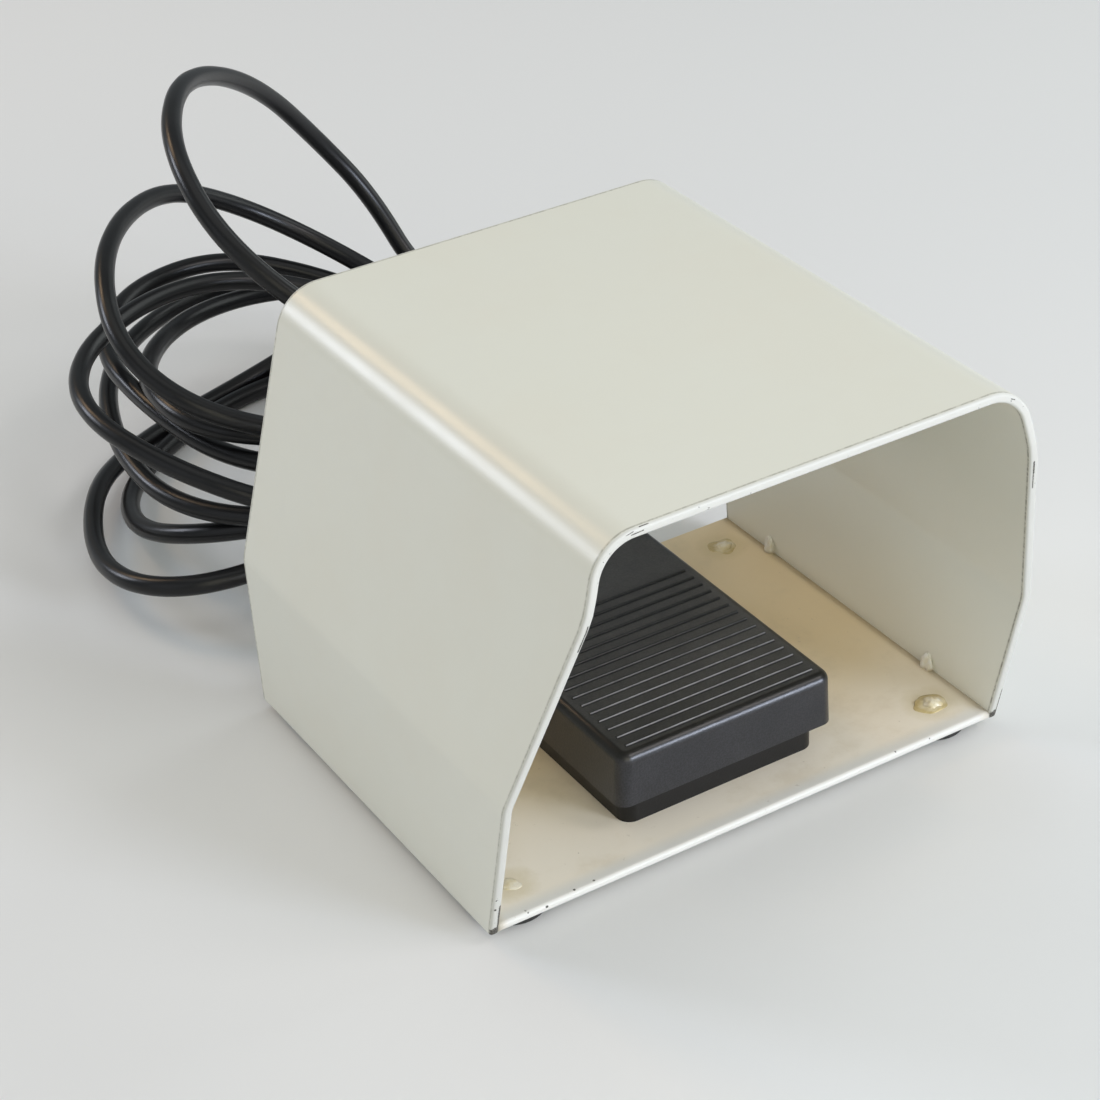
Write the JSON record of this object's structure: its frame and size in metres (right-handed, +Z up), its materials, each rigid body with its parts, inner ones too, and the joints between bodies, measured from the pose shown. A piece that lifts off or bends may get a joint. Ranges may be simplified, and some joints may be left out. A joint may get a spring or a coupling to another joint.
{
  "type": "sewing machine foot pedal",
  "caption": "Rocking foot pedal with a ribbed treadle under a bent sheet-metal foot guard, with an internal switch and a loosely coiled lead.",
  "frame": {"origin": "on the floor, below the middle of the guard's box, cord left out", "axes": "+Z up, the open front that the foot enters looks towards -Y, +X to the right seen from the front"},
  "size_m": [0.2551, 0.3354, 0.1344],
  "materials": {
    "ivory_paint": "semi-gloss enamel on bent steel sheet",
    "black_moulding": "fine grained matte moulding",
    "foot_rubber": "matte rubber",
    "zinc_steel": "zinc plated",
    "spring_steel": "bright spring steel",
    "glue": "hardened yellowish glue",
    "switch_plastic": "moulded phenolic",
    "plunger_plastic": "red moulding",
    "brass_tab": "tinned brass",
    "wire_blue": "wire insulation",
    "cord_black": "glossy flexible sheath"
  },
  "bodies": {
    "guard": {"guard_hood": "ivory_paint", "base_plate": "ivory_paint", "tack_welds": "ivory_paint", "rubber_feet": "foot_rubber", "foot_screws": "zinc_steel", "glue_blobs": "glue", "switch_base": "black_moulding", "hinge_pin": "zinc_steel", "return_springs": "spring_steel", "switch_case": "switch_plastic", "switch_lid": "switch_plastic", "switch_screws": "zinc_steel", "switch_terminals": "brass_tab", "crimp_receptacles": "brass_tab", "core_wires": "wire_blue", "inner_cord": "cord_black", "cable_clamp": "black_moulding", "clamp_screws": "zinc_steel", "pedal_screws": "zinc_steel", "pedal_nuts": "zinc_steel", "strain_relief": "cord_black", "cord_lead": "cord_black", "cord_coil": "cord_black", "cord_tail": "cord_black", "plug_body": "cord_black", "plug_pins": "brass_tab"},
    "treadle": {"treadle": "black_moulding", "actuator_screw": "zinc_steel", "lock_nut": "zinc_steel"},
    "plunger": {"switch_plunger": "plunger_plastic"},
    "lever": {"switch_lever": "spring_steel"}
  },
  "joints": [
    {"name": "treadle_rock", "type": "hinge", "parent": "guard", "child": "treadle", "pos_m": [0, 0.05158, 0.0225], "axis": [1, 0, 0], "range_deg": [0, 3], "stiffness_Nm_per_rad": 3, "springref_deg": -11.46, "deforming": ["return_springs"]},
    {"name": "lever_tilt", "type": "hinge", "parent": "guard", "child": "lever", "pos_m": [0, 0.00909, 0.0204], "axis": [1, 0, 0], "range_deg": [-5.2, 0]},
    {"name": "plunger_press", "type": "slide", "parent": "guard", "child": "plunger", "axis": [0, 0, 1], "range_m": [-0.00046, 0]}
  ],
  "couplings": [
    {"joint": "lever_tilt", "follows": "treadle_rock", "ratio": -1.6562},
    {"joint": "plunger_press", "follows": "treadle_rock", "m_per_rad": -0.0082813}
  ]
}
